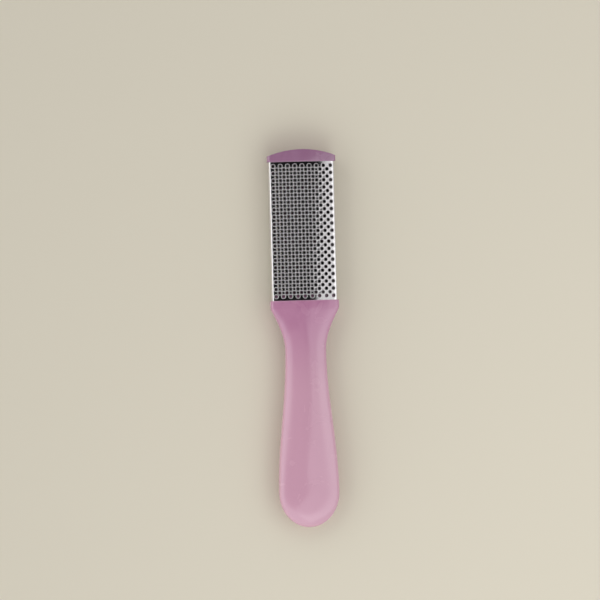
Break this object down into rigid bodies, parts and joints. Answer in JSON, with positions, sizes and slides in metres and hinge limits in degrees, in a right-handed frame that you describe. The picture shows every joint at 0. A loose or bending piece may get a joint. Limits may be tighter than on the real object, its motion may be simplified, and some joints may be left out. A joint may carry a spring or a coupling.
{
  "type": "foot file",
  "caption": "Double-sided foot file: a waisted moulded grip whose open frame carries crowned rasp plates with raised-rim holes, closed by an arched tip cap.",
  "frame": {"origin": "under the middle of the whole file, on the surface it rests on", "axes": "+Y along the file from the rounded butt to the tip cap, +Z out of the coarse face, +X to the right when the coarse face is seen with the tip up"},
  "size_m": [0.0286, 0.157, 0.0114],
  "materials": {
    "pink_plastic": "glossy moulded",
    "plated_steel": "bright nickel plate, lightly scratched"
  },
  "bodies": {
    "root": {"handle": "pink_plastic", "tip_cap": "pink_plastic", "coarse_rasp_plate": "plated_steel", "fine_rasp_plate": "plated_steel"}
  },
  "joints": []
}
